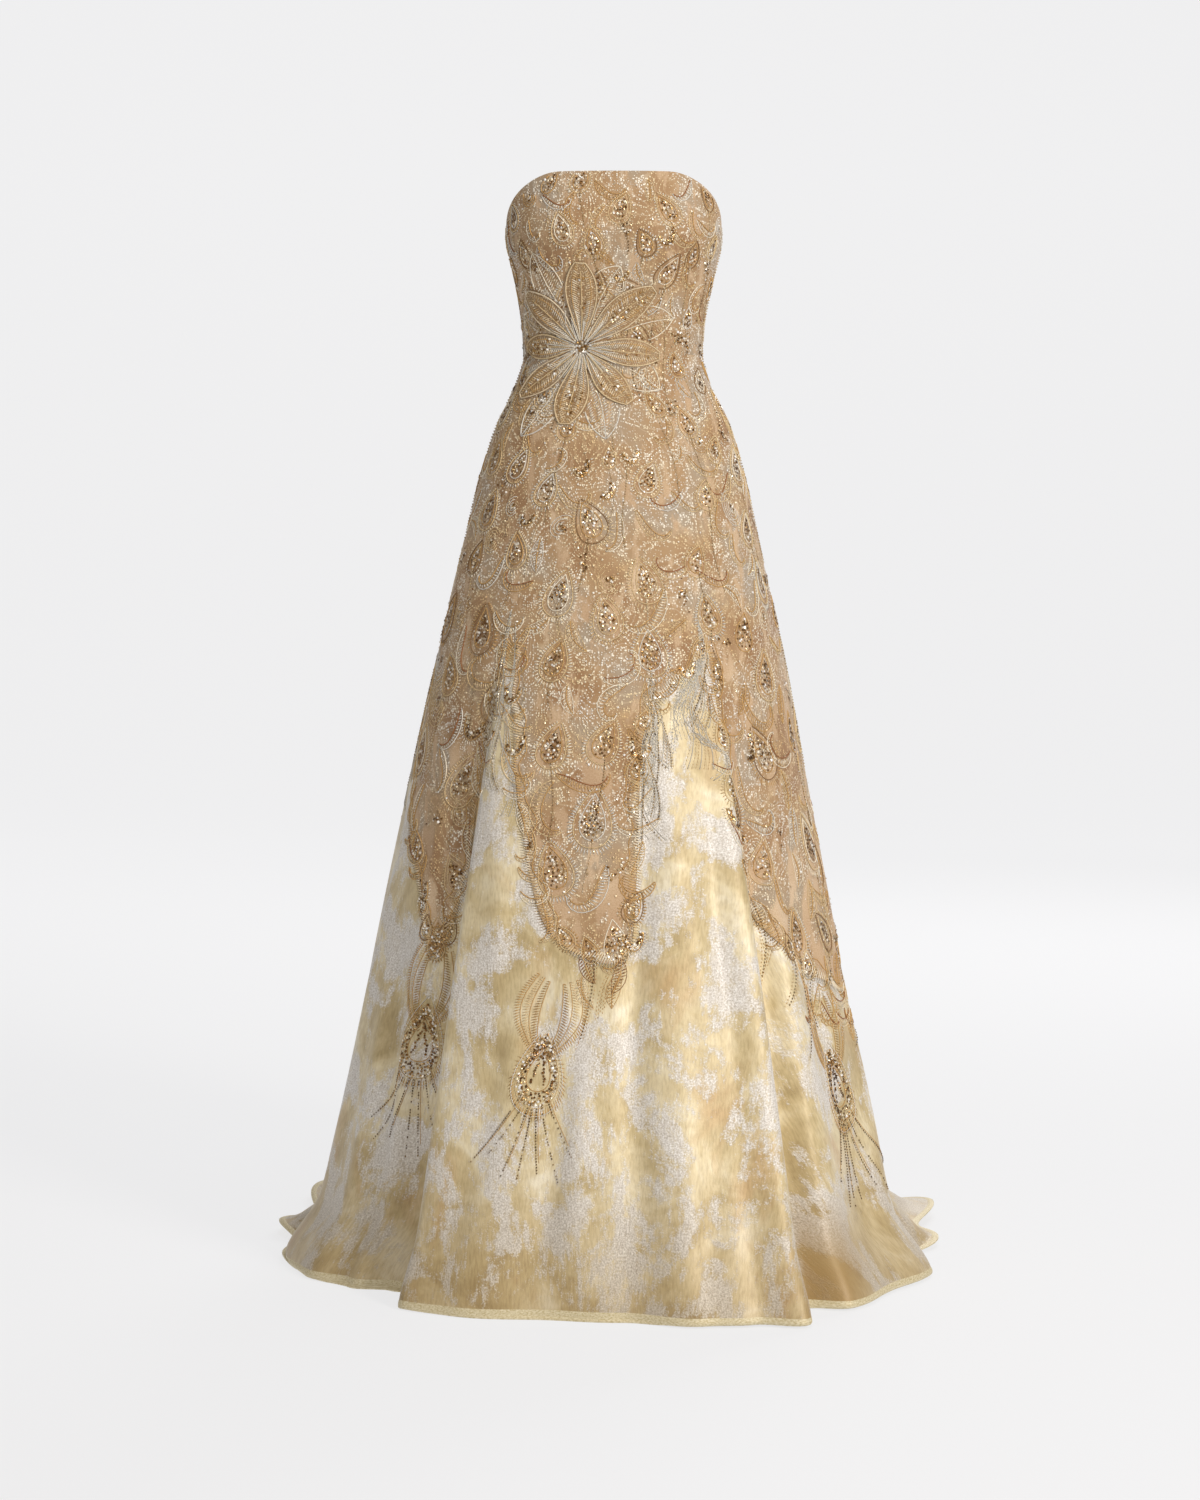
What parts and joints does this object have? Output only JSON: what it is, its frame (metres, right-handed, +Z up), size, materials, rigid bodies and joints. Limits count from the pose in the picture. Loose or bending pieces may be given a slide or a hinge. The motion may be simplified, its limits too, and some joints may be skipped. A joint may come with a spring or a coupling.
{
  "type": "ball gown",
  "caption": "Strapless floor-length ball gown with a fitted beaded net bodice, a flared skirt with metallic brocade godets and a short train, filled out as when worn.",
  "frame": {"origin": "centre of the waist, where the wearer holds the gown up", "axes": "+Z up, +X towards the wearer's left, the front faces -Y"},
  "size_m": [0.9197, 1.1748, 1.4408],
  "materials": {
    "net": "nude net over a nude ground, embroidered",
    "petal": "raised thread applique",
    "brocade": "gold and silver metallic brocade",
    "binding": "gold satin binding",
    "tape": "woven zip tape",
    "metal": "satin gold metal"
  },
  "bodies": {
    "gown": {"bodice_front": "net", "bodice_back_left": "net", "bodice_back_right": "net", "skirt_net_front": "net", "skirt_net_back_left": "net", "skirt_net_back_right": "net", "brocade_front": "brocade", "brocade_side_left": "brocade", "brocade_side_right": "brocade", "brocade_back_left": "brocade", "brocade_back_right": "brocade", "hem_binding_front": "binding", "hem_binding_back_left": "binding", "hem_binding_back_right": "binding", "flower_petal_1": "petal", "flower_petal_2": "petal", "flower_petal_3": "petal", "flower_petal_4": "petal", "flower_petal_5": "petal", "flower_petal_6": "petal", "flower_petal_7": "petal", "flower_petal_8": "petal", "zip_tape": "tape", "zip_slider": "metal"},
    "zip_tab": {"zip_pull": "metal"}
  },
  "joints": [
    {"name": "zip_pull_swing", "type": "hinge", "parent": "gown", "child": "zip_tab", "pos_m": [0.009, 0.09966, 0.1312], "axis": [1, 0, 0], "range_deg": [0, 150]}
  ]
}
